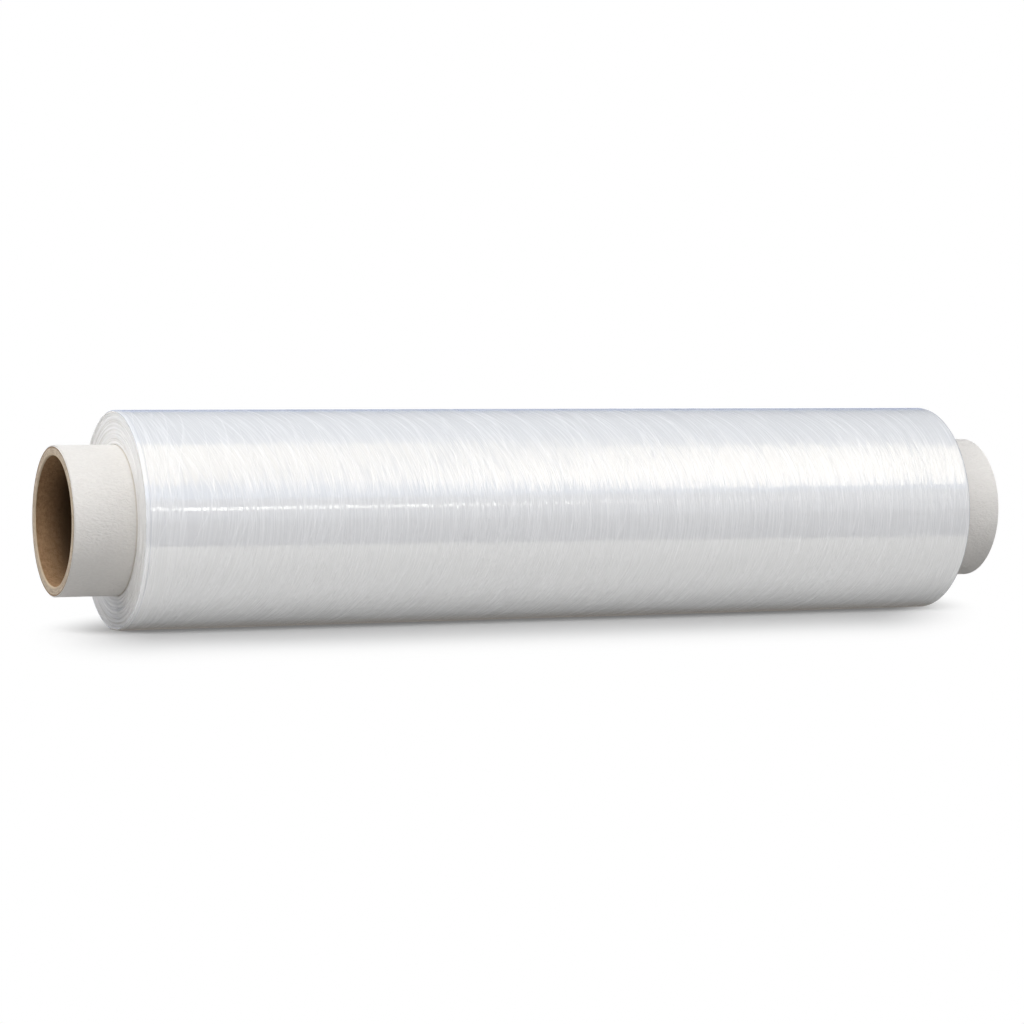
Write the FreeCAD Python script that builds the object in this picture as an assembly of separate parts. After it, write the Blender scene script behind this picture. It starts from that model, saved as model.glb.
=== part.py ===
import FreeCAD, Part
import math
import os

from FreeCAD import Vector

# A roll of cling film on a paperboard core, lying on its side. Millimetres and degrees.
# +X runs along the roll and +Z is up. The origin is on the surface that the roll rests on, under its middle.
# Angles round the roll run from +Y towards +Z, so 90 is its top and -90 its bottom.

# Board tube: plies of kraft board glued into one tube and cut square, the bore's edges a little broken.
bore_diameter = 50.0
board_wall = 3.6
bore_edge_break = 0.45

# White wrap: a strip of paper wound round the tube as a helix, edge to edge, and glued. It stops a little
# short of the tube's cut ends. Its seam is drawn open where it shows, from each end to just under the film.
paper_thickness = 0.4
paper_setback = 0.3
strip_width = 100.0
seam_gap = 0.4
seam_start_angle = -70.0

# Film: one web wound tight on the wrapped tube, a hair clear of it so that the curved faces never cross,
# and soft enough to lie on a narrow flat.
film_width = 356.0
film_build_up = 13.35
film_clearance = 0.05
left_stub_length = 23.8
right_stub_length = 22.2
flat_spot_width = 10.0

# The free edge of the last turn lies along the back, drawn thicker than the film so that it can be seen.
free_edge_height = 0.1
free_edge_angle = -35.0

# Ends of the film: the last turns stand out as a rounded rim. Inside it the turns lie in uneven bands,
# each a low ridge between two valleys.
rim_width = 1.2
rim_proud = 0.45
rim_corner_radius = 0.6
rim_corner_crease = 15.0
band_count = 9
valley_depth = 0.3
band_unevenness = 0.3
ridge_place = 0.6
left_band_phase = 1.1
right_band_phase = 3.4

# How far a cutting solid reaches past what it cuts.
overcut = 2.0

bore_radius = bore_diameter / 2
board_radius = bore_radius + board_wall
wrap_radius = board_radius + paper_thickness
first_turn_radius = wrap_radius + film_clearance
film_radius = wrap_radius + film_build_up
core_length = left_stub_length + film_width + right_stub_length
film_left = left_stub_length - core_length / 2
film_right = film_left + film_width
wrap_left = paper_setback - core_length / 2
wrap_right = -wrap_left
axis_height = math.sqrt(film_radius ** 2 - (flat_spot_width / 2) ** 2)
along = Vector(1, 0, 0)


# A point at a place along the roll, a distance from its axis and an angle round it.
def round_point(x, radius, angle):
    turn = math.radians(angle)
    return Vector(x, radius * math.cos(turn), axis_height + radius * math.sin(turn))


# Straight edges through (x, radius) points, drawn above the axis.
def straight_edges(points):
    corners = [round_point(x, radius, 90) for x, radius in points]
    return [Part.LineSegment(a, b).toShape() for a, b in zip(corners, corners[1:])]


# A solid of revolution about the roll's axis, from a closed outline drawn above it.
def revolved(edges):
    outline = Part.Face(Part.Wire(edges))
    return outline.revolve(Vector(0, 0, axis_height), along, 360)


def board_tube():
    end = core_length / 2
    mouth_radius = bore_radius + bore_edge_break
    half = [(end - bore_edge_break, bore_radius), (end, mouth_radius), (end, board_radius)]
    other_half = [(-x, radius) for x, radius in reversed(half)]
    return revolved(straight_edges(half + other_half + half[:1]))


# A stretch of the gap between the strip's turns: a narrow bar swept along the helix of the seam.
def seam_cutter(from_x, to_x):
    girth = 2 * math.pi * wrap_radius
    spacing = strip_width + seam_gap
    pitch = spacing * girth / math.sqrt(girth ** 2 - spacing ** 2)
    gap_along = seam_gap * pitch / spacing
    inner = board_radius - paper_thickness
    outer = wrap_radius + paper_thickness
    corners = [(inner, 0), (outer, 0), (outer, gap_along), (inner, gap_along), (inner, 0)]
    section = Part.makePolygon([Vector(radius, 0, z) for radius, z in corners])
    helix = Part.Wire(Part.makeHelix(pitch, to_x - from_x, wrap_radius))
    bar = helix.makePipeShell([section], True, True)
    # The helix is made standing, so it is laid along X, which leaves its start at the bottom, and then
    # turned to where the seam crosses from_x.
    angle = seam_start_angle + 360 * (from_x - wrap_left) / pitch
    bar.rotate(Vector(0, 0, 0), Vector(0, 1, 0), 90)
    bar.rotate(Vector(0, 0, 0), along, angle + 90)
    bar.translate(Vector(from_x, 0, axis_height))
    return bar


def white_wrap():
    outline = [
        (wrap_left, board_radius),
        (wrap_left, wrap_radius),
        (wrap_right, wrap_radius),
        (wrap_right, board_radius),
        (wrap_left, board_radius),
    ]
    sleeve = revolved(straight_edges(outline))
    left_seam = seam_cutter(wrap_left - overcut, film_left + overcut)
    right_seam = seam_cutter(film_right - overcut, wrap_right + overcut)
    return sleeve.cut(left_seam).cut(right_seam)


# The film's section across the roll: round, flat where it rests, and stepped at the free edge.
# Under the free edge the surface dips by the step and comes back to full size at the flat.
def film_section(x):
    flat_half_angle = math.degrees(math.asin(flat_spot_width / 2 / film_radius))
    flat_back = -90 + flat_half_angle
    flat_front = 270 - flat_half_angle
    edge_top = round_point(x, film_radius, free_edge_angle)
    edge_foot = round_point(x, film_radius - free_edge_height, free_edge_angle)
    dip_middle = round_point(x, film_radius - free_edge_height / 2, (flat_back + free_edge_angle) / 2)
    top = round_point(x, film_radius, 90)
    front = round_point(x, film_radius, flat_front)
    back = round_point(x, film_radius, flat_back)
    return Part.Face(Part.Wire([
        Part.Arc(edge_top, top, front).toShape(),
        Part.LineSegment(front, back).toShape(),
        Part.Arc(back, dip_middle, edge_foot).toShape(),
        Part.LineSegment(edge_foot, edge_top).toShape(),
    ]))


# (depth, radius) points of the bands of turns, from the first turn out to the foot of the rim.
# Depth is measured in from the face of the rim.
def band_points(phase):
    span = film_radius - rim_width - first_turn_radius
    valleys = []
    for band in range(band_count + 1):
        inside = 0 < band < band_count
        shift = band_unevenness * math.sin(2.4 * band + phase) if inside else 0
        swell = 1 + band_unevenness * math.sin(1.7 * band + phase)
        valleys.append((rim_proud + valley_depth * swell, first_turn_radius + span * (band + shift) / band_count))
    points = [valleys[0]]
    for (_, low), (depth, high) in zip(valleys, valleys[1:]):
        points += [(rim_proud, low + ridge_place * (high - low)), (depth, high)]
    return points


# One end of the film as a row of edges from the wrap to past the surface. The rim's corner meets the
# surface at a slight crease. inward is 1 at the left end and -1 at the right.
def end_edges(face_x, inward, phase):
    centre = film_radius - rim_corner_radius * math.cos(math.radians(rim_corner_crease))
    points = [(face_x + inward * depth, radius) for depth, radius in band_points(phase)]
    points.append((face_x, centre))
    half = rim_corner_radius * math.sqrt(0.5)
    corner_middle = round_point(face_x + inward * (rim_corner_radius - half), centre + half, 90)
    corner_x = face_x + inward * rim_corner_radius
    corner_end = round_point(corner_x, centre + rim_corner_radius, 90)
    corner = Part.Arc(round_point(face_x, centre, 90), corner_middle, corner_end).toShape()
    outside = [(corner_x, centre + rim_corner_radius), (corner_x, film_radius + overcut)]
    return straight_edges(points) + [corner] + straight_edges(outside), points[0], outside[-1]


def film():
    left, left_foot, left_top = end_edges(film_left, 1, left_band_phase)
    right, right_foot, right_top = end_edges(film_right, -1, right_band_phase)
    surface = straight_edges([left_top, right_top])
    bore = straight_edges([right_foot, left_foot])
    wound = revolved(left + surface + right[::-1] + bore)
    section = film_section(film_left - overcut)
    return section.extrude(along * (film_width + 2 * overcut)).common(wound)


nodes = {
    "board_tube": board_tube(),
    "white_wrap": white_wrap(),
    "film": film(),
}

os.makedirs("parts", exist_ok=True)
for name, shape in nodes.items():
    shape.exportStep(f"parts/{name}.step")
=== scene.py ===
import math

import bpy
import numpy as np
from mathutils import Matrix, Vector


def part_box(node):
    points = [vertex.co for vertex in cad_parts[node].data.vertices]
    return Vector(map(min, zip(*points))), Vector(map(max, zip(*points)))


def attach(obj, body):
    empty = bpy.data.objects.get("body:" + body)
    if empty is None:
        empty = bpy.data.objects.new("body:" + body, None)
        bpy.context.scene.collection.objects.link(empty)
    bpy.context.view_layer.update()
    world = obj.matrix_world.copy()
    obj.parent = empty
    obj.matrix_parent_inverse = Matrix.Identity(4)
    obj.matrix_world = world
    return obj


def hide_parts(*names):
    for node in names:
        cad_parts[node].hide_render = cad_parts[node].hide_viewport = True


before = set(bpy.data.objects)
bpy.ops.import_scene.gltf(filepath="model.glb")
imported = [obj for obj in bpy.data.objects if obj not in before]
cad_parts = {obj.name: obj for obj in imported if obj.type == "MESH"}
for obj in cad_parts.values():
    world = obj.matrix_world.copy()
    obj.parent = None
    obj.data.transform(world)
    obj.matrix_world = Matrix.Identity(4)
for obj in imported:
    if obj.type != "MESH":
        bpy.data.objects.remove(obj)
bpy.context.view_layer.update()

mm = 0.001                                      # the frame is in metres, the sizes below in millimetres
filmLow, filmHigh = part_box("film")
boardLow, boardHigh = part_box("board_tube")
wrapLow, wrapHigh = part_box("white_wrap")
axisHeight = (boardLow.z + boardHigh.z) / 2 / mm
filmRadius = filmHigh.z / mm - axisHeight
wrapRadius = wrapHigh.z / mm - axisHeight
boardRadius = boardHigh.z / mm - axisHeight
filmEnds = (filmLow.x / mm, filmHigh.x / mm)
boardEnds = (boardLow.x / mm, boardHigh.x / mm)
wrapEnds = (wrapLow.x / mm, wrapHigh.x / mm)


# sRGB hex colour to the linear one that Blender's sockets take.
def linear(hexColour):
    channels = [int(hexColour[i:i + 2], 16) / 255 for i in (1, 3, 5)]
    return [c / 12.92 if c <= 0.04045 else ((c + 0.055) / 1.055) ** 2.4 for c in channels] + [1.0]


# What many nodes are set to: a mix of two colours, and a range with eased ends.
asColour = {"out": 2, "data_type": "RGBA"}
smooth = {"interpolation_type": "SMOOTHSTEP"}


# Adds one shader node and gives back one of its outputs. Inputs are values or other nodes' outputs, and
# settings are the node's own.
def addNode(tree, kind, inputs=(), out=0, **settings):
    node = tree.nodes.new("ShaderNode" + kind)
    for name, value in settings.items():
        setattr(node, name, value)
    for socket, value in dict(inputs).items():
        if isinstance(value, bpy.types.NodeSocket):
            tree.links.new(value, node.inputs[socket])
        else:
            node.inputs[socket].default_value = value
    return node.outputs[out] if len(node.outputs) else node


def newMaterial(name):
    material = bpy.data.materials.new(name)
    material.use_nodes = True
    material.node_tree.nodes.clear()
    return material, material.node_tree


def finishMaterial(tree, surface):
    addNode(tree, "OutputMaterial", {"Surface": surface})


# One skin through rings that have as many points each. It is closed by joining the last ring to the first,
# or else by the faces of its two end caps.
def skin(name, rings, caps=()):
    rings = np.asarray(rings, float) * mm
    count, around = rings.shape[:2]
    faces = []
    for ring in range(count - 1 if caps else count):
        a, b = ring * around, (ring + 1) % count * around
        faces += [(a + i, a + (i + 1) % around, b + (i + 1) % around, b + i) for i in range(around)]
    mesh = bpy.data.meshes.new(name)
    mesh.from_pydata(rings.reshape(-1, 3).tolist(), [], faces + list(caps))
    mesh.update()
    for polygon in mesh.polygons:
        polygon.use_smooth = True
    piece = bpy.data.objects.new(name, mesh)
    bpy.context.scene.collection.objects.link(piece)
    return piece


def ringPoints(along, radii, angles):
    along = np.broadcast_to(np.asarray(along, float), angles.shape)
    return np.stack([along, radii * np.cos(angles), axisHeight + radii * np.sin(angles)], axis=-1)


# Film: one web of clear film wound tight, with what can be set about its shape and its look.
film = {
    "turnSteps": 104,              # steps round the roll
    "flatSteps": 5,                # of them on the flat
    "lengthSteps": 850,            # steps along the wound surface, about 0.42 mm each
    "faceSteps": 44,               # rings of points on each end face
    "rimSteps": 10,                # and round its rim
    "firstTurnRadius": 29.05,
    "flatWidth": 10.0,             # the soft roll's flat where it lies
    "flatPress": (0.13, 0.8),      # radians each way where it presses the wrinkles out, and by what share
    "freeEdgeAngle": -35.0,        # at the back; degrees from +Y towards +Z
    "freeEdgeHeight": 0.1,
    "bow": 17.0,                   # the web was wound askew: its lines bow towards the right end at the front
    "bowFade": 45.0,               # and straighten over this length at each end
    "sink": 0.06,                  # how far the mean surface lies under the tightest wrinkle
    "deepest": 0.15,               # and how far the deepest does
    # Tension wrinkles: mm long and mm wide, each from and to, then the spreads of height (mm), of lean and of
    # bend (mm). The drift is the share of lean that neighbours have in common.
    "fineWrinkles": {"count": 3000, "length": (35, 90), "width": (0.42, 0.7), "height": 0.010,
                     "drift": 0.05, "lean": 0.015, "bend": 0.4},
    "longWrinkles": {"count": 700, "length": (55, 120), "width": (0.5, 1.0), "height": 0.022,
                     "drift": 0.09, "lean": 0.025, "bend": 1.2},
    "crossing": (0.15, 0.16),      # share of the long ones that lie across the others, and the spread of lean
    "shoulders": ((1.4, 0.45), (0.7, 0.3)),        # the last turns' pressed edges, left and right: long, deep
    "shoulderGroove": (0.45, 0.3, 0.06),           # beside it: mm from the edge, half width and depth
    "calm": (2.0, 0.02),           # mm from the shoulder to full wrinkles, and the smooth depth before them
    "rimFoot": (0.28, 0.12),       # the end face meets the rim this far under its round edge, and this deep
    "rimWidth": 1.2,
    "rimProud": 0.45,
    "bands": 9,
    "valleyDepth": 0.3,
    "unevenness": 0.3,
    "ridgePlace": 0.6,
    "bandPhases": (1.1, 3.4),      # left and right
    "ringRelief": 0.025,           # single turns that stand out or in on the end faces
    "ringWander": 0.06,
    "ringFades": (0.4, 1.3, 0.6),  # mm: fading at the core, end under the surface, fading before that
    "leastDepth": 0.1,             # no turn comes nearer to the rim's face
    "milk": "#F3F3F2", "milkShade": "#EFEFEF", "hairline": "#FDFDFD",
    # rim: the stacked edge's own milky white, partly a painted highlight on its rounded edge
    "endMilk": "#FDFBF8", "endShade": "#E7E4DE", "rim": "#FBFBFC", "rimDarkLine": "#A9ACB6", "groove": "#BFC4CF",
    "rimLook": (-0.1, 0.2),        # mm past the wound surface over which the rim's whiter look, partly a painted highlight, sets in
    "faceLook": (0.45, 0.7),       # mm under it over which the end face's does
    "rimLineSpan": (0.28, 0.36),       # mm along the right shoulder to the thin grey line, a painted reflection of darker surroundings on the rim
    "grooveLine": (0.4, 0.35, 0.05, 0.4),          # painted shade in the groove by the left shoulder: mm before it, mm each way from and to, share
    "roughness": 0.055, "endRoughness": 0.45, "ior": 1.51,
    "stackGloss": 0.34,            # share that the pile of clear turns mirrors, as silver would
    "endGloss": 0.02,
    "glow": 0.5, "glowDepth": 2.5,  # share of the light that wanders inside the milky pile, and how far, mm
    # Families of creases: mm apart, mm long, lean, wander and height in mm, and width in units of the noise.
    "creases": ((1.3, 110.0, 0.02, 7.0, 0.016, 0.08),
                (2.4, 120.0, -0.07, 10.0, 0.026, 0.05),
                (6.0, 140.0, 0.16, 12.0, 0.035, 0.035)),
    "creaseWhite": 0.4, "creaseDull": 0.35,        # how much each whitens the film and dulls its mirror
    "hair": (0.55, 80.0, -0.02, 7.0, 0.026),       # really finer, drawn as coarse as it needs to show
    "hairTone": (0.34, 0.66),
    "slack": (12.0, 130.0, 0.0, 20.0, 0.22),       # the soft waves of the whole web
    "dimple": (16.0, 0.05),                        # mm across and high, where the web lies slack
    "rings": (0.7, 90.0, 0.0, 1.0, 0.02),          # single turns on the end faces
    "ringTone": (0.55, 0.68),
}
filmMiddle = sum(filmEnds) / 2
filmHalf = (filmEnds[1] - filmEnds[0]) / 2


# Places on the roll, in millimetres: the point itself, along the roll, the same along the bowed lines of the
# web, out from the axis, round it, and from the film's middle. The way round starts at the free edge, where a
# jump does no harm because a turn ends there.
def rollPlaces(tree):
    place = addNode(tree, "TexCoord", out=3)
    place = addNode(tree, "VectorMath", {0: place, "Scale": 1 / mm}, operation="SCALE")
    place = addNode(tree, "VectorMath", {0: place, 1: (0, 0, axisHeight)}, operation="SUBTRACT")
    split = addNode(tree, "SeparateXYZ", {0: place}).node
    across = addNode(tree, "VectorMath", {0: place, 1: (0, 1, 1)}, operation="MULTIPLY")
    radius = addNode(tree, "VectorMath", {0: across}, out=1, operation="LENGTH")
    turned = addNode(tree, "VectorRotate", {
        "Vector": across, "Angle": math.pi - math.radians(film["freeEdgeAngle"])}, rotation_type="X_AXIS")
    turned = addNode(tree, "SeparateXYZ", {0: turned}).node
    angle = addNode(tree, "Math", {0: turned.outputs[2], 1: turned.outputs[1]}, operation="ARCTAN2")
    arc = addNode(tree, "Math", {0: angle, 1: filmRadius}, operation="MULTIPLY")
    fromMiddle = addNode(tree, "Math", {0: split.outputs[0], 1: filmMiddle}, operation="SUBTRACT")
    fromMiddle = addNode(tree, "Math", {0: fromMiddle}, operation="ABSOLUTE")
    lean, fadeFrom = film["bow"] / filmRadius, filmHalf - film["bowFade"]
    bow = addNode(tree, "MapRange", {0: fromMiddle, 1: fadeFrom, 2: filmHalf, 3: lean, 4: 0.0}, **smooth)
    along = split.outputs[0]
    bowed = addNode(tree, "Math", {0: bow, 1: split.outputs[1], 2: along}, operation="MULTIPLY_ADD")
    return {"place": place, "along": along, "bowed": bowed, "radius": radius, "arc": arc,
            "fromMiddle": fromMiddle}


# Noise drawn out round the roll: fine across, long round it, leaning by slope and bent aside by a slow wander
# that changes over some 90 mm along the roll and 70 mm across. The seed gives each noise a place of its own.
def turnNoise(tree, spots, across, gap, length, slope, wander, seed, detail=2.0):
    slow = (1 / 90, 1 / 70, 1 / 70)
    drift = addNode(tree, "VectorMath", {0: spots["place"], 1: slow}, operation="MULTIPLY")
    drift = addNode(tree, "VectorMath", {0: drift, 1: (seed * 3.7, seed, 0)}, operation="ADD")
    drift = addNode(tree, "TexNoise", {"Vector": drift, "Scale": 1.0, "Detail": 1.0})
    fine = addNode(tree, "Math", {0: drift, 1: wander, 2: across}, operation="MULTIPLY_ADD")
    fine = addNode(tree, "Math", {0: spots["arc"], 1: slope, 2: fine}, operation="MULTIPLY_ADD")
    fine = addNode(tree, "Math", {0: fine, 1: 1 / gap}, operation="MULTIPLY")
    long = addNode(tree, "Math", {0: spots["arc"], 1: 1 / length, 2: seed * 9.1}, operation="MULTIPLY_ADD")
    grain = addNode(tree, "CombineXYZ", {0: fine, 1: long})
    return addNode(tree, "TexNoise", {"Vector": grain, "Scale": 1.0, "Detail": detail, "Roughness": 0.6},
                   noise_dimensions="2D")


# Angles and radii of the film's section, from the top of the free edge over the roll to its foot.
def filmSection():
    half = math.asin(film["flatWidth"] / 2 / filmRadius)
    edge = math.radians(film["freeEdgeAngle"])
    front, back = 1.5 * math.pi - half, 1.5 * math.pi + half
    last = 2 * math.pi + edge
    dipSteps = round((last - back) / (2 * math.pi) * film["turnSteps"])
    bodySteps = film["turnSteps"] - film["flatSteps"] - dipSteps
    body = np.linspace(edge, front, bodySteps + 1)[:-1]
    flat = np.linspace(front, back, film["flatSteps"] + 1)[:-1]
    dip = np.linspace(back, last, dipSteps)
    radii = np.concatenate([
        np.full(len(body), filmRadius),
        -filmRadius * math.cos(half) / np.sin(flat),
        filmRadius - film["freeEdgeHeight"] * (dip - back) / (last - back),
    ])
    return np.concatenate([body, flat, dip]), radii


# How deep the surface lies under its tightest place, over the whole wound width: crossing tension wrinkles
# that follow the web's lines, each a soft ridge or furrow that fades out at both ends.
def wrinkleDepth(along, angles):
    chance = np.random.default_rng(41)
    depth = np.full((len(along), len(angles)), film["sink"])
    arc = (angles - angles[0]) * filmRadius
    girth = 2 * math.pi * filmRadius
    step = along[1] - along[0]

    # One wrinkle, which reaches three widths to each side and fades out along its length.
    def press(x, start, length, width, height, slope, bend):
        away = (arc - start + girth / 2) % girth - girth / 2
        for row in np.nonzero(np.abs(away) < length / 2)[0]:
            t = 2 * away[row] / length
            centre = x + slope * away[row] + bend * (t * t - 0.3)
            first = int((centre - 3 * width - along[0]) / step)
            last = int((centre + 3 * width - along[0]) / step) + 2
            first, last = max(first, 0), min(last, len(along))
            if last > first:
                gap = (along[first:last] - centre) / width
                depth[first:last, row] += height * (1 - t * t) ** 1.5 * np.exp(-gap * gap)

    span = filmEnds[1] - filmEnds[0]
    fine, long = film["fineWrinkles"], film["longWrinkles"]
    crossShare, crossLean = film["crossing"]
    # Neighbouring wrinkles lean the same way, as the web drifted while it was wound: a sum of slow waves.
    phases = chance.uniform(0, 2 * math.pi, 4)
    for index in range(fine["count"] + long["count"]):
        x, start = filmEnds[0] + chance.random() * span, chance.random() * girth
        drift = sum(math.sin(x / (23 + 19 * k) + start / 60 * (1 if k % 2 else -1) + phase)
                    for k, phase in enumerate(phases)) / 3
        if index < fine["count"]:
            press(x, start, chance.uniform(*fine["length"]), chance.uniform(*fine["width"]),
                  chance.normal() * fine["height"], fine["drift"] * drift + chance.normal() * fine["lean"],
                  chance.normal() * fine["bend"])
        else:
            crosses = chance.random() < crossShare
            lean = chance.normal() * (crossLean if crosses else long["lean"])
            slope = lean if crosses else long["drift"] * drift + lean
            press(x, start, chance.uniform(*long["length"]), chance.uniform(*long["width"]),
                  chance.normal() * long["height"], slope, chance.normal() * long["bend"])
    return np.clip(depth, 0, film["deepest"])


# The end face: depth in from the rim's face over the radius, for each angle. Its bands are the solid's own.
def endDepth(radii, angles, phase, seed):
    span = filmRadius - film["rimWidth"] - film["firstTurnRadius"]
    spots, depths = [], []
    for band in range(film["bands"] + 1):
        inside = 0 < band < film["bands"]
        shift = film["unevenness"] * math.sin(2.4 * band + phase) if inside else 0
        swell = 1 + film["unevenness"] * math.sin(1.7 * band + phase)
        spots.append(film["firstTurnRadius"] + span * (band + shift) / film["bands"])
        depths.append(film["rimProud"] + film["valleyDepth"] * swell)
    curve, level = [spots[0]], [depths[0]]
    for low, high, depth in zip(spots, spots[1:], depths[1:]):
        curve += [low + film["ridgePlace"] * (high - low), high]
        level += [film["rimProud"], depth]
    chance = np.random.default_rng(seed)
    wander = sum(chance.normal() * np.sin(k * angles + chance.uniform(0, 6.3)) for k in (1, 2, 3))
    wander = wander * film["ringWander"]
    atCore, rimStart, atRim = film["ringFades"]
    result = []
    for radius in radii:
        fromCore, fromRim = radius - film["firstTurnRadius"], filmRadius - rimStart - radius
        fade = min(1, max(0, fromRim / atRim), max(0, fromCore / atCore))
        base = np.interp(radius + wander * fade, curve, level)
        ring = chance.normal() * (0.8 + 0.2 * np.sin(angles * chance.integers(1, 4) + chance.uniform(0, 6.3)))
        result.append(base + film["ringRelief"] * ring * fade)
    return np.maximum(np.array(result), film["leastDepth"])


def buildFilm():
    angles, section = filmSection()
    shrink = section / filmRadius
    (leftLength, _), (rightLength, _) = film["shoulders"]
    along = np.linspace(filmEnds[0] + leftLength, filmEnds[1] - rightLength, film["lengthSteps"] + 1)
    depth = wrinkleDepth(along, angles)
    fromEnd = np.minimum(along - along[0], along[-1] - along)
    # Beside the shoulder runs a fine groove, and the wrinkles start beyond it.
    place, halfWidth, deep = film["shoulderGroove"]
    groove = deep * np.exp(-((fromEnd - place) / halfWidth) ** 2)
    calmLength, calmDepth = film["calm"]
    calm = np.clip(fromEnd / calmLength, 0, 1)
    depth = depth * calm[:, None] + groove[:, None] + calmDepth * (1 - calm[:, None])
    # The flat keeps its level, pressed smooth by the roll's weight.
    reach, share = film["flatPress"]
    pressed = np.exp(-((angles - 1.5 * math.pi) / reach) ** 4)
    depth = depth * (1 - share * pressed)
    fade = np.clip(fromEnd / film["bowFade"], 0, 1)
    bow = film["bow"] * fade * fade * (3 - 2 * fade)
    rings = [ringPoints(x - lean * np.cos(angles), section - row, angles)
             for x, lean, row in zip(along, bow, depth)]

    def endRings(face, inward, side, seed):
        length, drop = film["shoulders"][side]
        radii = np.linspace(film["firstTurnRadius"], filmRadius - film["rimWidth"], film["faceSteps"])
        rows = endDepth(radii, angles, film["bandPhases"][side], seed)
        out = [ringPoints(face + inward * row, radius * shrink, angles) for radius, row in zip(radii, rows)]
        centre = filmRadius - calmDepth - drop
        under, deep = film["rimFoot"]
        out.append(ringPoints(face + inward * deep, (centre - under) * shrink, angles))
        for turn in np.linspace(0, math.pi / 2, film["rimSteps"] + 1)[:-1]:
            x = face + inward * length * (1 - math.cos(turn))
            out.append(ringPoints(x, (centre + drop * math.sin(turn)) * shrink, angles))
        return out

    left = endRings(filmEnds[0], 1, 0, seed=5)
    right = endRings(filmEnds[1], -1, 1, seed=8)
    piece = skin("film_turns", left + rings + right[::-1])
    piece.data.set_sharp_from_angle(angle=math.radians(50))
    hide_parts("film")
    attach(piece, "root")
    return piece


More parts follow.
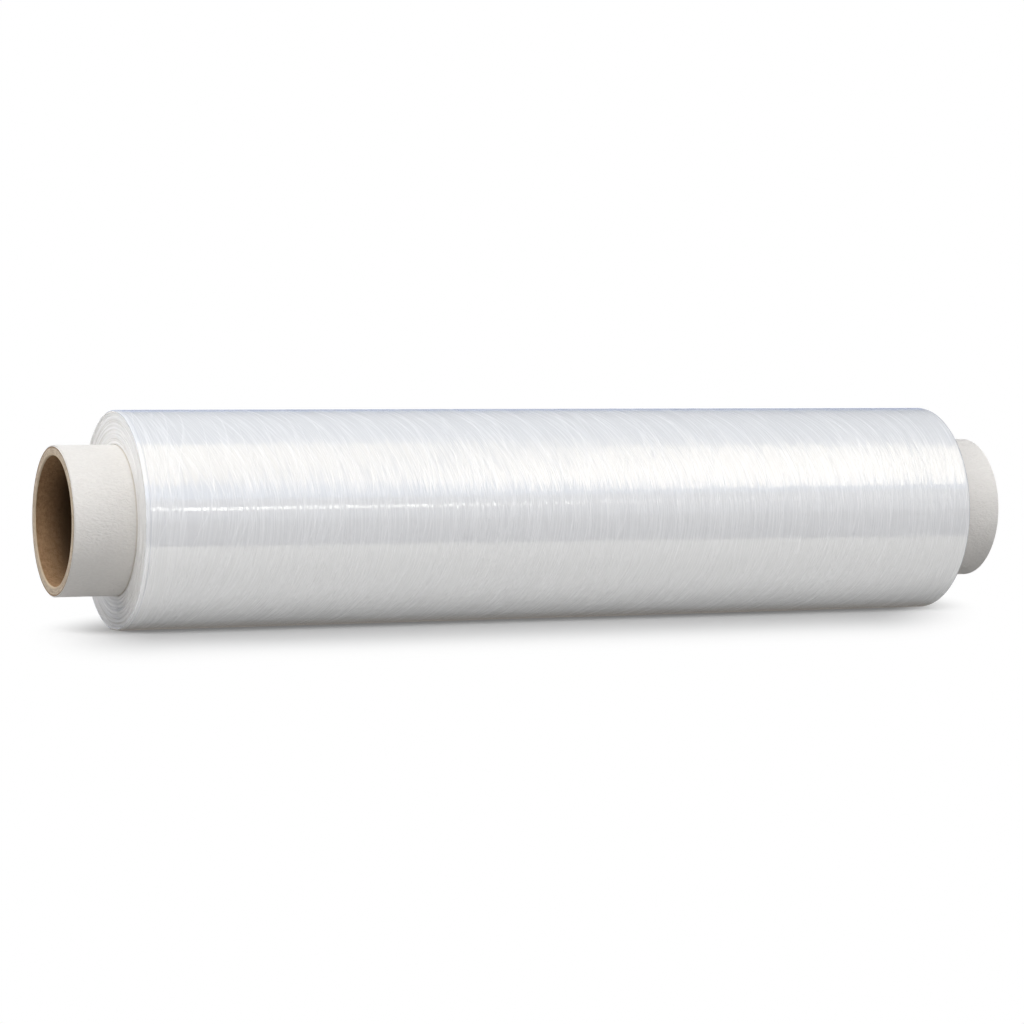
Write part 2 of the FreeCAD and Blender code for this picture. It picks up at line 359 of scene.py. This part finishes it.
# Cast polyethylene film wound tight: each turn is clear and glossy, and hundreds together look milky and
# half silvered, with fine creases round the roll that break the reflections into threads.
def castPolyethyleneFilm():
    material, tree = newMaterial("cast_polyethylene_film_wound")
    spots = rollPlaces(tree)
    *shape, height = film["hair"]
    hair = turnNoise(tree, spots, spots["bowed"], *shape, seed=7.3)
    relief = addNode(tree, "Math", {0: hair, 1: height}, operation="MULTIPLY")
    *shape, height = film["slack"]
    slack = turnNoise(tree, spots, spots["bowed"], *shape, seed=3.1, detail=0.0)
    relief = addNode(tree, "Math", {0: slack, 1: height, 2: relief}, operation="MULTIPLY_ADD")
    wide, height = film["dimple"]
    dimple = addNode(tree, "TexNoise", {"Vector": spots["place"], "Scale": 1 / wide, "Detail": 0.0})
    relief = addNode(tree, "Math", {0: dimple, 1: height, 2: relief}, operation="MULTIPLY_ADD")
    # A crease runs where its noise passes its middle.
    lines = 0.0
    for index, (*shape, height, width) in enumerate(film["creases"], 1):
        wave = turnNoise(tree, spots, spots["bowed"], *shape, seed=index * 1.7, detail=1.0)
        crease = addNode(tree, "Math", {0: wave, 1: 0.5}, operation="SUBTRACT")
        crease = addNode(tree, "Math", {0: crease}, operation="ABSOLUTE")
        crease = addNode(tree, "MapRange", {0: crease, 1: width, 2: 0.0}, **smooth)
        relief = addNode(tree, "Math", {0: crease, 1: height, 2: relief}, operation="MULTIPLY_ADD")
        lines = addNode(tree, "Math", {0: crease, 1: film["creaseWhite"], 2: lines},
                        operation="MULTIPLY_ADD", use_clamp=True)
    *shape, height = film["rings"]
    ring = turnNoise(tree, spots, spots["radius"], *shape, seed=4.2, detail=3.0)
    ringRelief = addNode(tree, "Math", {0: ring, 1: height}, operation="MULTIPLY")
    # Past the wound surface comes the shoulder, set off at the left by a faint groove painted darker as
    # shade, and then the end face.
    (leftLength, _), (rightLength, _) = film["shoulders"]
    pastLeft = addNode(tree, "Math", {0: filmEnds[0] + leftLength, 1: spots["along"]}, operation="SUBTRACT")
    pastRight = addNode(tree, "Math", {0: spots["along"], 1: filmEnds[1] - rightLength}, operation="SUBTRACT")
    past = addNode(tree, "Math", {0: pastLeft, 1: pastRight}, operation="MAXIMUM")
    # byEnd whitens the rim: its own milky edge, partly a painted highlight.
    byEnd = addNode(tree, "MapRange", {0: past, 1: film["rimLook"][0], 2: film["rimLook"][1]})
    # The right rim's thin grey line is a painted reflection.
    line = addNode(tree, "MapRange", {0: pastRight, 1: film["rimLineSpan"][0], 2: film["rimLineSpan"][1]})
    # The groove's grey is painted shade.
    before, fadeFrom, fadeTo, share = film["grooveLine"]
    groove = addNode(tree, "Math", {0: pastLeft, 1: before}, operation="ADD")
    groove = addNode(tree, "Math", {0: groove}, operation="ABSOLUTE")
    groove = addNode(tree, "MapRange", {0: groove, 1: fadeFrom, 2: fadeTo, 3: 0.0, 4: share})
    fadeFrom, fadeTo = film["faceLook"]
    inside = addNode(tree, "MapRange", {0: spots["radius"], 1: filmRadius - fadeFrom, 2: filmRadius - fadeTo})
    onEnd = addNode(tree, "Math", {0: byEnd, 1: inside}, operation="MULTIPLY")
    tone = addNode(tree, "MapRange", {0: hair, 1: film["hairTone"][0], 2: film["hairTone"][1]})
    surface = addNode(tree, "Mix", {0: tone, 6: linear(film["milkShade"]), 7: linear(film["milk"])},
                      **asColour)
    for share, tint in ((lines, "hairline"), (byEnd, "rim"), (groove, "groove"), (line, "rimDarkLine")):
        surface = addNode(tree, "Mix", {0: share, 6: surface, 7: linear(film[tint])}, **asColour)
    tone = addNode(tree, "MapRange", {0: ring, 1: film["ringTone"][0], 2: film["ringTone"][1]}, **smooth)
    ends = addNode(tree, "Mix", {0: tone, 6: linear(film["endMilk"]), 7: linear(film["endShade"])},
                   **asColour)
    colour = addNode(tree, "Mix", {0: onEnd, 6: surface, 7: ends}, **asColour)
    gloss = addNode(tree, "MapRange", {0: onEnd, 3: film["roughness"], 4: film["endRoughness"]})
    dull = addNode(tree, "Math", {0: lines, 1: film["creaseDull"]}, operation="MULTIPLY")
    for share in (onEnd, groove, line):
        dull = addNode(tree, "Math", {0: dull, 1: share}, operation="MAXIMUM")
    mirror = addNode(tree, "MapRange", {0: dull, 3: film["stackGloss"], 4: film["endGloss"]})
    relief = addNode(tree, "Mix", {0: byEnd, 2: relief, 3: ringRelief})
    # The bump's height is in millimetres, so its distance is one of them.
    bump = addNode(tree, "Bump", {"Height": relief, "Distance": mm})
    finishMaterial(tree, addNode(tree, "BsdfPrincipled", {
        "Base Color": colour, "Roughness": gloss, "Metallic": mirror, "IOR": film["ior"], "Normal": bump,
        "Subsurface Weight": film["glow"], "Subsurface Radius": (1, 1, 1),
        "Subsurface Scale": film["glowDepth"] * mm}))
    return material


print("film: winding the turns")
filmTurns = buildFilm()
filmTurns.data.materials.append(castPolyethyleneFilm())

# Board tube: spiral-wound kraft board, sawn to length.
board = {
    "turnSteps": 160,
    "faceSteps": 22,               # rings of points on each sawn face
    "boreSteps": 150,
    "boreRadius": 25.0,
    "edgeBreak": 0.45,
    "edgeSteps": (0.25, 0.6, 1.0),                 # shares of the broken inner edge, rounded by handling
    "edgeBack": 0.08,
    "plies": 6,                    # kraft plies in the wall
    "plyGroove": 0.05,
    "cutRoughness": 0.035,         # torn fibre on the sawn faces
    "rimFade": (0.2, 0.3),         # mm over which it fades at a face's rims, and its share at the inner one
    "edgeRoughness": 0.01, "boreRoughness": 0.012,
    "plySeam": (96.0, 0.7, 0.18),  # the inner ply's edges meet in a helix: its pitch, half width and depth
    "kraft": "#BC9874", "kraftDark": "#A07D5B", "kraftPaintedShade": "#523F2B",
    "boreShade": (14.0, 2.0),         # mm inside the mouth between which the bore goes from painted shade deep inside to its own kraft
    "cut": "#BCA892", "cutLight": "#DCCDBA", "cutDark": "#96795C", "lip": "#D8C5AC",
    "paperEdge": "#EEEBE7",        # fibres of the white wrap, glued over the last of the board
    # Where these set in on the cut: mm from the wall's outside or, for the lip, from its bore, from and to.
    "cutDarkBand": (0.6, 0.4), "paperEdgeBand": (0.16, 0.08), "lipBand": (0.9, 0.7),
    "cutFade": 0.1,                # mm each way from the broken edge over which the cut's look gives way
    "roughness": 0.88, "ior": 1.47, "specular": 0.1,
    "bump": 0.27,
    "fibreLength": 1.3, "fibreWidth": 0.35,
    "fibreBend": (0.5, 5.0),       # bends for each mm, and how far they go
    "mottle": 1.6,                 # clumps of pulp
    "rings": (0.32, 9.0, 0.0, 0.3),                # torn plies on the cut: mm apart, mm long, lean, wander
    "grainTone": (0.75, 1.25), "ringTone": (0.75, 1.2),
}


def buildBoard():
    angles = np.linspace(0, 2 * math.pi, board["turnSteps"], endpoint=False)
    chance = np.random.default_rng(17)
    inner, edgeBreak = board["boreRadius"], board["edgeBreak"]
    mouth = inner + edgeBreak
    fade, least = board["rimFade"]

    # Random heights of torn fibre round one ring.
    def torn(height):
        return height * np.abs(chance.normal(size=len(angles)))

    # A sawn face with a groove at each joint of plies, level at its rims, and then the broken inner edge.
    def cutFace(face, inward):
        rows = []
        for radius in np.linspace(boardRadius, mouth, board["faceSteps"]):
            ply = math.cos(2 * math.pi * board["plies"] * (radius - inner) / (boardRadius - inner))
            depth = board["plyGroove"] * max(0, ply) ** 6 + torn(board["cutRoughness"])
            level = min(1, (radius - mouth) / fade + least, (boardRadius - radius) / fade)
            rows.append(ringPoints(face + inward * depth * level, radius, angles))
        for share in board["edgeSteps"]:
            uneven = board["edgeRoughness"] * chance.normal(size=len(angles)) * (share < 1)
            radius = mouth - edgeBreak * share ** 1.4 + uneven
            rows.append(ringPoints(face + inward * edgeBreak * share, radius, angles))
        rows.append(ringPoints(face + inward * (edgeBreak + board["edgeBack"]), inner, angles))
        return rows

    left = cutFace(boardEnds[0], 1)
    right = cutFace(boardEnds[1], -1)
    pitch, halfWidth, deep = board["plySeam"]
    bore = []
    for x in np.linspace(boardEnds[0], boardEnds[1], board["boreSteps"])[1:-1]:
        away = np.abs((angles - 2 * math.pi * x / pitch + math.pi) % (2 * math.pi) - math.pi) * inner
        depth = deep * np.exp(-(away / halfWidth) ** 2)
        bore.append(ringPoints(x, inner + depth + torn(board["boreRoughness"]), angles))
    piece = skin("kraft_tube", left + bore + right[::-1])
    piece.data.set_sharp_from_angle(angle=math.radians(40))
    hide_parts("board_tube")
    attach(piece, "root")
    return piece


# Spiral-wound kraft board, sawn to length: dull brown with pulp clumps and short fibres, paler and greyer
# where the blade tore it, with the plies' edges showing as faint rings.
def kraftBoardSawn():
    material, tree = newMaterial("kraft_board_spiral_wound_sawn")
    spots = rollPlaces(tree)
    clump = addNode(tree, "TexNoise", {
        "Vector": spots["place"], "Scale": 1 / board["mottle"], "Detail": 5.0, "Roughness": 0.6})
    wide, long = board["fibreWidth"], board["fibreLength"]
    bends, reach = board["fibreBend"]
    drawn = (1 / wide, 1 / long, 1 / long)
    drawn = addNode(tree, "VectorMath", {0: spots["place"], 1: drawn}, operation="MULTIPLY")
    bend = addNode(tree, "TexNoise", {"Vector": spots["place"], "Scale": bends, "Detail": 2.0}, out=1)
    bend = addNode(tree, "VectorMath", {0: bend, "Scale": reach}, operation="SCALE")
    drawn = addNode(tree, "VectorMath", {0: drawn, 1: bend}, operation="ADD")
    fibre = addNode(tree, "TexNoise", {"Vector": drawn, "Scale": 1.0, "Detail": 3.0, "Roughness": 0.6})
    grain = addNode(tree, "Math", {0: clump, 1: fibre}, operation="ADD")
    low, high = board["grainTone"]
    tone = addNode(tree, "MapRange", {0: grain, 1: low, 2: high}, **smooth)
    inside = addNode(tree, "Mix", {0: tone, 6: linear(board["kraftDark"]), 7: linear(board["kraft"])},
                     **asColour)
    # Deep inside the bore the kraft is painted darker: painted shade where the light falls off inside the
    # tube.
    end = boardEnds[1]
    fromMiddle = addNode(tree, "Math", {0: spots["along"]}, operation="ABSOLUTE")
    deep, shallow = board["boreShade"]
    boreShade = addNode(tree, "MapRange", {0: fromMiddle, 1: end - deep, 2: end - shallow}, **smooth)
    inside = addNode(tree, "Mix", {0: boreShade, 6: linear(board["kraftPaintedShade"]), 7: inside}, **asColour)
    rings = turnNoise(tree, spots, spots["radius"], *board["rings"], seed=2.2)
    rings = addNode(tree, "Math", {0: rings, 1: fibre}, operation="ADD")
    low, high = board["ringTone"]
    tone = addNode(tree, "MapRange", {0: rings, 1: low, 2: high}, **smooth)
    cut = addNode(tree, "Mix", {0: tone, 6: linear(board["cut"]), 7: linear(board["cutLight"])}, **asColour)
    # On the cut a darker band runs inside the outer rim, the wrap's edge runs round it, and a pale lip runs
    # round the bore.
    bore = board["boreRadius"]
    for tint, start, way in (("cutDark", boardRadius, -1), ("paperEdge", boardRadius, -1), ("lip", bore, 1)):
        first, last = board[tint + "Band"]
        band = addNode(tree, "MapRange", {0: spots["radius"], 1: start + way * first, 2: start + way * last})
        cut = addNode(tree, "Mix", {0: band, 6: cut, 7: linear(board[tint])}, **asColour)
    edge, fade = end - board["edgeBreak"], board["cutFade"]
    onCut = addNode(tree, "MapRange", {0: fromMiddle, 1: edge - fade, 2: edge + fade})
    colour = addNode(tree, "Mix", {0: onCut, 6: inside, 7: cut}, **asColour)
    bump = addNode(tree, "Bump", {"Height": grain, "Distance": board["bump"] * mm})
    finishMaterial(tree, addNode(tree, "BsdfPrincipled", {
        "Base Color": colour, "Roughness": board["roughness"], "IOR": board["ior"],
        "Specular IOR Level": board["specular"], "Normal": bump}))
    return material


print("board tube: sawing the ends")
kraftTube = buildBoard()
kraftTube.data.materials.append(kraftBoardSawn())

# White wrap: a strip of paper wound on the tube as a helix, edge to edge.
wrap = {
    "turnSteps": 168,
    "lengthSteps": 190,
    "stripWidth": 100.0,
    "seamGap": 0.4,
    "seamStartAngle": -70.0,
    "under": 1.2,                  # how far the strip is drawn in under the film's ends
    "sink": 0.02,                  # how far its face lies inside the solid's, and how uneven it is
    "unevenness": 0.012,
    "seamDip": 0.04,
    "lift": (0.05, 0.12),          # how far the strip's edge frays at the cut ends: spread and most
    "paper": "#ECE9E5", "paperShade": "#E8E5E1", "paperCornerShade": "#DAD3C8",
    "cornerShadeFrom": (0.1, 0.5),        # mm in from the film's ends over which the painted shade in the corner by the film sets in
    "roughness": 0.62, "ior": 1.48,
    "crinkle": 0.8,                # the fine leathery grain of the felt
    "crinkleDraw": (0.5, 0.8, 1.3), "crinkleSlant": 40,
    "crinkleBend": (0.35, 2.4),    # bends for each mm, and how far they go
    "crinkleTone": (0.35, 0.68),
    "bump": 0.3,
}


# At each place along the tube the strip goes all the way round but for the seam's gap.
def buildWrap():
    girth = 2 * math.pi * wrapRadius
    spacing = wrap["stripWidth"] + wrap["seamGap"]
    pitch = spacing * girth / math.sqrt(girth ** 2 - spacing ** 2)
    gapAngle = wrap["seamGap"] * girth / spacing / wrapRadius
    under, half = wrap["under"], wrap["turnSteps"]
    along = np.concatenate([
        np.linspace(wrapEnds[0], filmEnds[0] + under, wrap["lengthSteps"] // 2),
        np.linspace(filmEnds[1] - under, wrapEnds[1], wrap["lengthSteps"] // 2)])
    chance = np.random.default_rng(29)
    rows = []
    for x in along:
        start = math.radians(wrap["seamStartAngle"]) + 2 * math.pi * (x - wrapEnds[0]) / pitch + gapAngle
        angles = start + np.linspace(0, 2 * math.pi - gapAngle, half)
        level = wrapRadius - wrap["sink"] - wrap["unevenness"] * np.abs(chance.normal(size=half))
        level[[0, -1]] -= wrap["seamDip"]
        outside = ringPoints(x, level, angles)
        inside = ringPoints(x, boardRadius, angles)
        rows.append(np.concatenate([outside, inside[::-1]]))
    spread, most = wrap["lift"]
    ragged = np.zeros(half * 2)
    ragged[:half] = np.minimum(spread * np.abs(chance.normal(size=half)), most)
    rows[0][:, 0] += ragged
    rows[-1][:, 0] -= ragged
    # End caps join the outside to the inside.
    around = half * 2
    caps = []
    for base in (0, (len(along) - 1) * around):
        for i in range(half - 1):
            quad = (base + i, base + i + 1, base + around - 2 - i, base + around - 1 - i)
            caps.append(quad if base else quad[::-1])
    piece = skin("paper_wrap", rows, caps)
    piece.data.set_sharp_from_angle(angle=math.radians(50))
    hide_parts("white_wrap")
    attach(piece, "root")
    return piece


# Bleached kraft paper, machine finished: off-white and nearly dull, with a soft slanting felt grain.
def bleachedPaperWrap():
    material, tree = newMaterial("bleached_paper_machine_finished")
    spots = rollPlaces(tree)
    bends, reach = wrap["crinkleBend"]
    bend = addNode(tree, "TexNoise", {"Vector": spots["place"], "Scale": bends, "Detail": 2.0}, out=1)
    bend = addNode(tree, "VectorMath", {0: bend, "Scale": reach}, operation="SCALE")
    grain = addNode(tree, "VectorMath", {0: spots["place"], 1: bend}, operation="ADD")
    slant = (0, math.radians(wrap["crinkleSlant"]), 0)
    grain = addNode(tree, "Mapping", {0: grain, "Rotation": slant, "Scale": wrap["crinkleDraw"]})
    crinkle = addNode(tree, "TexNoise", {
        "Vector": grain, "Scale": 1 / wrap["crinkle"], "Detail": 1.5, "Roughness": 0.5})
    low, high = wrap["crinkleTone"]
    tone = addNode(tree, "MapRange", {0: crinkle, 1: low, 2: high}, **smooth)
    colour = addNode(tree, "Mix", {0: tone, 6: linear(wrap["paperShade"]), 7: linear(wrap["paper"])},
                     **asColour)
    # Just under the film's end the paper is painted a little darker and warmer: painted shade in the corner
    # where it meets the film.
    near, far = wrap["cornerShadeFrom"]
    cornerShade = addNode(tree, "MapRange", {0: spots["fromMiddle"], 1: filmHalf - near, 2: filmHalf - far})
    colour = addNode(tree, "Mix", {0: cornerShade, 6: colour, 7: linear(wrap["paperCornerShade"])}, **asColour)
    bump = addNode(tree, "Bump", {"Height": crinkle, "Distance": wrap["bump"] * mm})
    finishMaterial(tree, addNode(tree, "BsdfPrincipled", {
        "Base Color": colour, "Roughness": wrap["roughness"], "IOR": wrap["ior"], "Normal": bump}))
    return material


print("white wrap: winding the strip")
paperWrap = buildWrap()
paperWrap.data.materials.append(bleachedPaperWrap())

# Studio: a white sheet, soft lamps, and cards and lamp faces that only the gloss mirrors.
studio = {
    "floorReach": 4.0,
    "floorBounce": "#B9B9B9",
    "floorSeen": "#FFFFFF",
    # Where the roll's shade ends at the left and the right, m, how far that leans for each m to the back, and
    # how much faster the shade fades past its ends and behind the roll than before it.
    "shadeLeft": (0.156, 0.35), "shadeRight": (0.150, 0.5), "shadeTaper": 3.1, "shadeBack": 1.5,
    "paintedShadowAtRoll": 0.31, "paintedShadowReach": 0.19,  # painted shadow: the sheet is painted darker close to the roll, out to this far, m
    "paintedLightAtRoll": 0.15,                    # painted light: the sheet keeps this share of white glow even at the roll's very foot
    "clearFrom": 0.045, "clearTo": 0.182,   # m from the roll, where the sheet turns to pure white
    # Distances from the contact line, m, over which the gloss sees the sheet go from dim and warm to white:
    # painted shade of the roll's foot, as the gloss mirrors it.
    "mirrorFrom": 0.006, "mirrorTo": 0.038, "mirrorFoot": 0.32, "tintReach": 0.014, "mirrorTint": "#E8D8C4",
    "lampSize": 0.8, "lampReach": 1.25,
    # Soft lamps: degrees round from the front towards +X, degrees up, and watts.
    "lamps": {"front": (345, 48, 5.0), "front_left": (315, 48, 3.7), "front_right": (45, 48, 3.6),
              "right_low": (45, 20, 2.4), "left": (280, 46, 4.0), "back_left": (225, 30, 6.0),
              "right_end": (92, 10, 1.5)},
    # Lit cards: corners, colour, strength, how that changes for each m along x, y and z, and uneven bars, as
    # how many to a metre and by what share they vary.
    "cards": {
        "card_floor": ([(-3, -0.24, 0.001), (3, 0.04, 0.001), (3, -3, 0.001), (-3, -3, 0.001)],
                       "#F3F5FD", 0.74, (-0.03, 0, 0), (45.0, 0.08)),
        "card_front": ([(-3, -3, 0), (3, -3, 0), (3, -3, 1.3), (-3, -3, 1.3)],
                       "#F1F4FD", 0.89, (-0.04, 0, 0.07), (60.0, 0.26)),
        "card_roof": ([(-3, -3, 1.3), (3, -3, 1.3), (3, 3, 1.3), (-3, 3, 1.3)],
                      "#E8F0FF", 0.91, (-0.10, -0.12, 0), (20.0, 0.12)),
        "card_back": ([(-3, 3, 0), (3, 3, 0), (3, 3, 1.3), (-3, 3, 1.3)],
                      "#C0D4FF", 0.56, (-0.03, 0, 0.1), (20.0, 0.10)),
        "lamp_face_left": ([(-1.3, -1.19, 1.04), (0.34, -1.33, 1.04), (0.40, -0.10, 1.04), (-1.3, 0, 1.04)],
                           "#FFFCF8", 1.24, (-0.1, -0.09, 0), (20.0, 0.14)),
        "lamp_face_right": ([(0.50, -1.22, 1.04), (1.18, -1.88, 1.04), (1.6, -1.88, 1.04), (1.5, -0.45, 1.04),
                             (0.45, -0.16, 1.04)],
                            "#FFFBF6", 1.25, (0.2, -0.2, 0), (20.0, 0.14)),
        "lamp_strip": ([(0.14, -1.2, 0.300), (0.25, -1.2, 0.268), (0.32, -1.2, 0.268), (0.66, -1.2, 0.300),
                        (0.66, -1.2, 0.310), (0.32, -1.2, 0.345), (0.25, -1.2, 0.345), (0.14, -1.2, 0.312)],
                       "#FFFFFF", 3.4, (-4.5, 0, 0), (110.0, 1.0)),
    },
}


# 1 for rays that look at or mirror the surroundings, 0 for the ones that light the object.
def seenShare(tree):
    path = addNode(tree, "LightPath").node
    seen = addNode(tree, "Math", {0: path.outputs["Is Camera Ray"], 1: path.outputs["Is Glossy Ray"]},
                   operation="MAXIMUM")
    return addNode(tree, "Math", {0: seen, 1: path.outputs["Is Transmission Ray"]}, operation="MAXIMUM")


def buildWorld():
    world = bpy.data.worlds.new("white_studio")
    bpy.context.scene.world = world
    world.use_nodes = True
    tree = world.node_tree
    tree.nodes.clear()
    glow = addNode(tree, "Background", {"Color": (1, 1, 1, 1), "Strength": seenShare(tree)})
    addNode(tree, "OutputWorld", {"Surface": glow})


# A flat stage sheet from its corners.
def sheetOf(name, corners, material):
    mesh = bpy.data.meshes.new(name)
    mesh.from_pydata(corners, [], [tuple(range(len(corners)))])
    mesh.materials.append(material)
    piece = bpy.data.objects.new(name, mesh)
    bpy.context.scene.collection.objects.link(piece)
    return piece


# Matt white sheet: it keeps the roll's soft shadow, deepened by painted shadow near the roll and lifted by
# painted light at its foot, and is pure white further off.
def paintedFloor():
    material, tree = newMaterial("matt_white_floor")
    path = addNode(tree, "LightPath").node
    seen = seenShare(tree)
    place = addNode(tree, "TexCoord", out=3)
    # How far off the roll a place lies, counted faster past its ends and behind it.
    (leftEnd, leftLean), (rightEnd, rightLean) = studio["shadeLeft"], studio["shadeRight"]
    left = addNode(tree, "VectorMath", {0: place, 1: (-1, leftLean, 0)}, out=1, operation="DOT_PRODUCT")
    left = addNode(tree, "Math", {0: left, 1: leftEnd}, operation="SUBTRACT")
    right = addNode(tree, "VectorMath", {0: place, 1: (1, -rightLean, 0)}, out=1, operation="DOT_PRODUCT")
    right = addNode(tree, "Math", {0: right, 1: rightEnd}, operation="SUBTRACT")
    past = addNode(tree, "Math", {0: left, 1: right}, operation="MAXIMUM")
    past = addNode(tree, "Math", {0: past, 1: 0.0}, operation="MAXIMUM")
    past = addNode(tree, "Math", {0: past, 1: studio["shadeTaper"]}, operation="MULTIPLY")
    depth = addNode(tree, "SeparateXYZ", {0: place}, out=1)
    behind = addNode(tree, "Math", {0: depth, 1: studio["shadeBack"]}, operation="MULTIPLY")
    before = addNode(tree, "Math", {0: depth, 1: -1.0}, operation="MULTIPLY")
    depth = addNode(tree, "Math", {0: behind, 1: before}, operation="MAXIMUM")
    away = addNode(tree, "CombineXYZ", {0: past, 1: depth})
    away = addNode(tree, "VectorMath", {0: away}, out=1, operation="LENGTH")
    # Towards the roll the sheet turns from white glow to matt; the glow kept at its foot is painted light.
    clear = addNode(tree, "MapRange", {
        0: away, 1: studio["clearFrom"], 2: studio["clearTo"], 3: studio["paintedLightAtRoll"], 4: 1.0}, **smooth)
    clear = addNode(tree, "Math", {0: clear, 1: seen}, operation="MULTIPLY")
    clear = addNode(tree, "Math", {0: clear, 1: path.outputs["Is Glossy Ray"]}, operation="MAXIMUM")
    # Painted shadow: the sheet's colour darkens towards the roll.
    near = addNode(tree, "MapRange", {0: away, 2: studio["paintedShadowReach"], 3: studio["paintedShadowAtRoll"], 4: 1.0})
    white = linear(studio["floorSeen"])
    sheet = addNode(tree, "VectorMath", {0: white[:3], "Scale": near}, operation="SCALE")
    colour = addNode(tree, "Mix", {0: seen, 6: linear(studio["floorBounce"]), 7: sheet}, **asColour)
    # Painted shade in what the gloss sees: dim and warm near the roll's foot.
    level = addNode(tree, "MapRange", {
        0: depth, 1: studio["mirrorFrom"], 2: studio["mirrorTo"], 3: studio["mirrorFoot"], 4: 1.0}, **smooth)
    level = addNode(tree, "Math", {0: level, 1: path.outputs["Is Camera Ray"]}, operation="MAXIMUM")
    pure = addNode(tree, "MapRange", {0: depth, 2: studio["tintReach"]})
    pure = addNode(tree, "Math", {0: pure, 1: path.outputs["Is Camera Ray"]}, operation="MAXIMUM")
    tint = addNode(tree, "Mix", {0: pure, 6: linear(studio["mirrorTint"]), 7: white}, **asColour)
    matt = addNode(tree, "BsdfDiffuse", {"Color": colour})
    glow = addNode(tree, "Emission", {"Color": tint, "Strength": level})
    finishMaterial(tree, addNode(tree, "MixShader", {0: clear, 1: matt, 2: glow}))
    return material


# Cards and lamp faces stand round the roll for its gloss to mirror: they neither light nor shade anything.
def litCard(name, corners, hexColour, strength, change, bars):
    material, tree = newMaterial("lit_" + name)
    place = addNode(tree, "TexCoord", out=3)
    level = addNode(tree, "VectorMath", {0: place, 1: change}, out=1, operation="DOT_PRODUCT")
    level = addNode(tree, "Math", {0: level, 1: strength}, operation="ADD")
    perMetre, varies = bars
    strips = addNode(tree, "VectorMath", {0: place, 1: (perMetre, 0, 0)}, operation="MULTIPLY")
    wave = addNode(tree, "TexNoise", {"Vector": strips, "Scale": 1.0, "Detail": 2.0})
    # The noise keeps near its middle, so that part of its range is spread over the whole.
    share = addNode(tree, "MapRange", {0: wave, 1: 0.38, 2: 0.62, 3: 1 - varies, 4: 1 + varies})
    level = addNode(tree, "Math", {0: level, 1: share}, operation="MULTIPLY")
    finishMaterial(tree, addNode(tree, "Emission", {"Color": linear(hexColour), "Strength": level}))
    piece = sheetOf(name, corners, material)
    piece.visible_camera = False
    piece.visible_diffuse = False
    piece.visible_shadow = False
    piece.visible_transmission = False


# A soft square lamp that points at the roll's middle and shows in no mirror.
def areaLamp(name, turn, up, power):
    lamp = bpy.data.lights.new(name, "AREA")
    lamp.shape, lamp.size, lamp.energy = "SQUARE", studio["lampSize"], power
    holder = bpy.data.objects.new(name, lamp)
    turn, up = math.radians(turn), math.radians(up)
    reach = studio["lampReach"]
    holder.location = (reach * math.sin(turn) * math.cos(up), -reach * math.cos(turn) * math.cos(up),
                       reach * math.sin(up) + axisHeight * mm)
    holder.rotation_euler = (math.pi / 2 - up, 0, turn)
    holder.visible_camera = False
    holder.visible_glossy = False
    bpy.context.scene.collection.objects.link(holder)


def buildStudio():
    buildWorld()
    reach = studio["floorReach"]
    corners = [(-reach, -reach, 0), (reach, -reach, 0), (reach, reach, 0), (-reach, reach, 0)]
    sheetOf("floor", corners, paintedFloor())
    for name, card in studio["cards"].items():
        litCard(name, *card)
    for name, lamp in studio["lamps"].items():
        areaLamp("lamp_" + name, *lamp)


# The view along the roll from its left end: yaw from +Y towards +X, and pitch down.
camera = {
    "place": (-0.55515, -1.23535, 0.04968),        # m, from the middle of the roll's axis
    "yaw": 23.807, "pitch": 2.0759,
    "lens": 117.81, "sensor": 36.0,
}


def buildCamera():
    data = bpy.data.cameras.new("camera")
    data.lens, data.sensor_width = camera["lens"], camera["sensor"]
    holder = bpy.data.objects.new("camera", data)
    x, y, z = camera["place"]
    holder.location = (x, y, z + axisHeight * mm)
    holder.rotation_euler = (math.radians(90 - camera["pitch"]), 0, math.radians(-camera["yaw"]))
    bpy.context.scene.collection.objects.link(holder)
    bpy.context.scene.camera = holder


print("studio: floor, cards and lamps")
buildStudio()
buildCamera()
bpy.context.scene.view_settings.view_transform = "Standard"
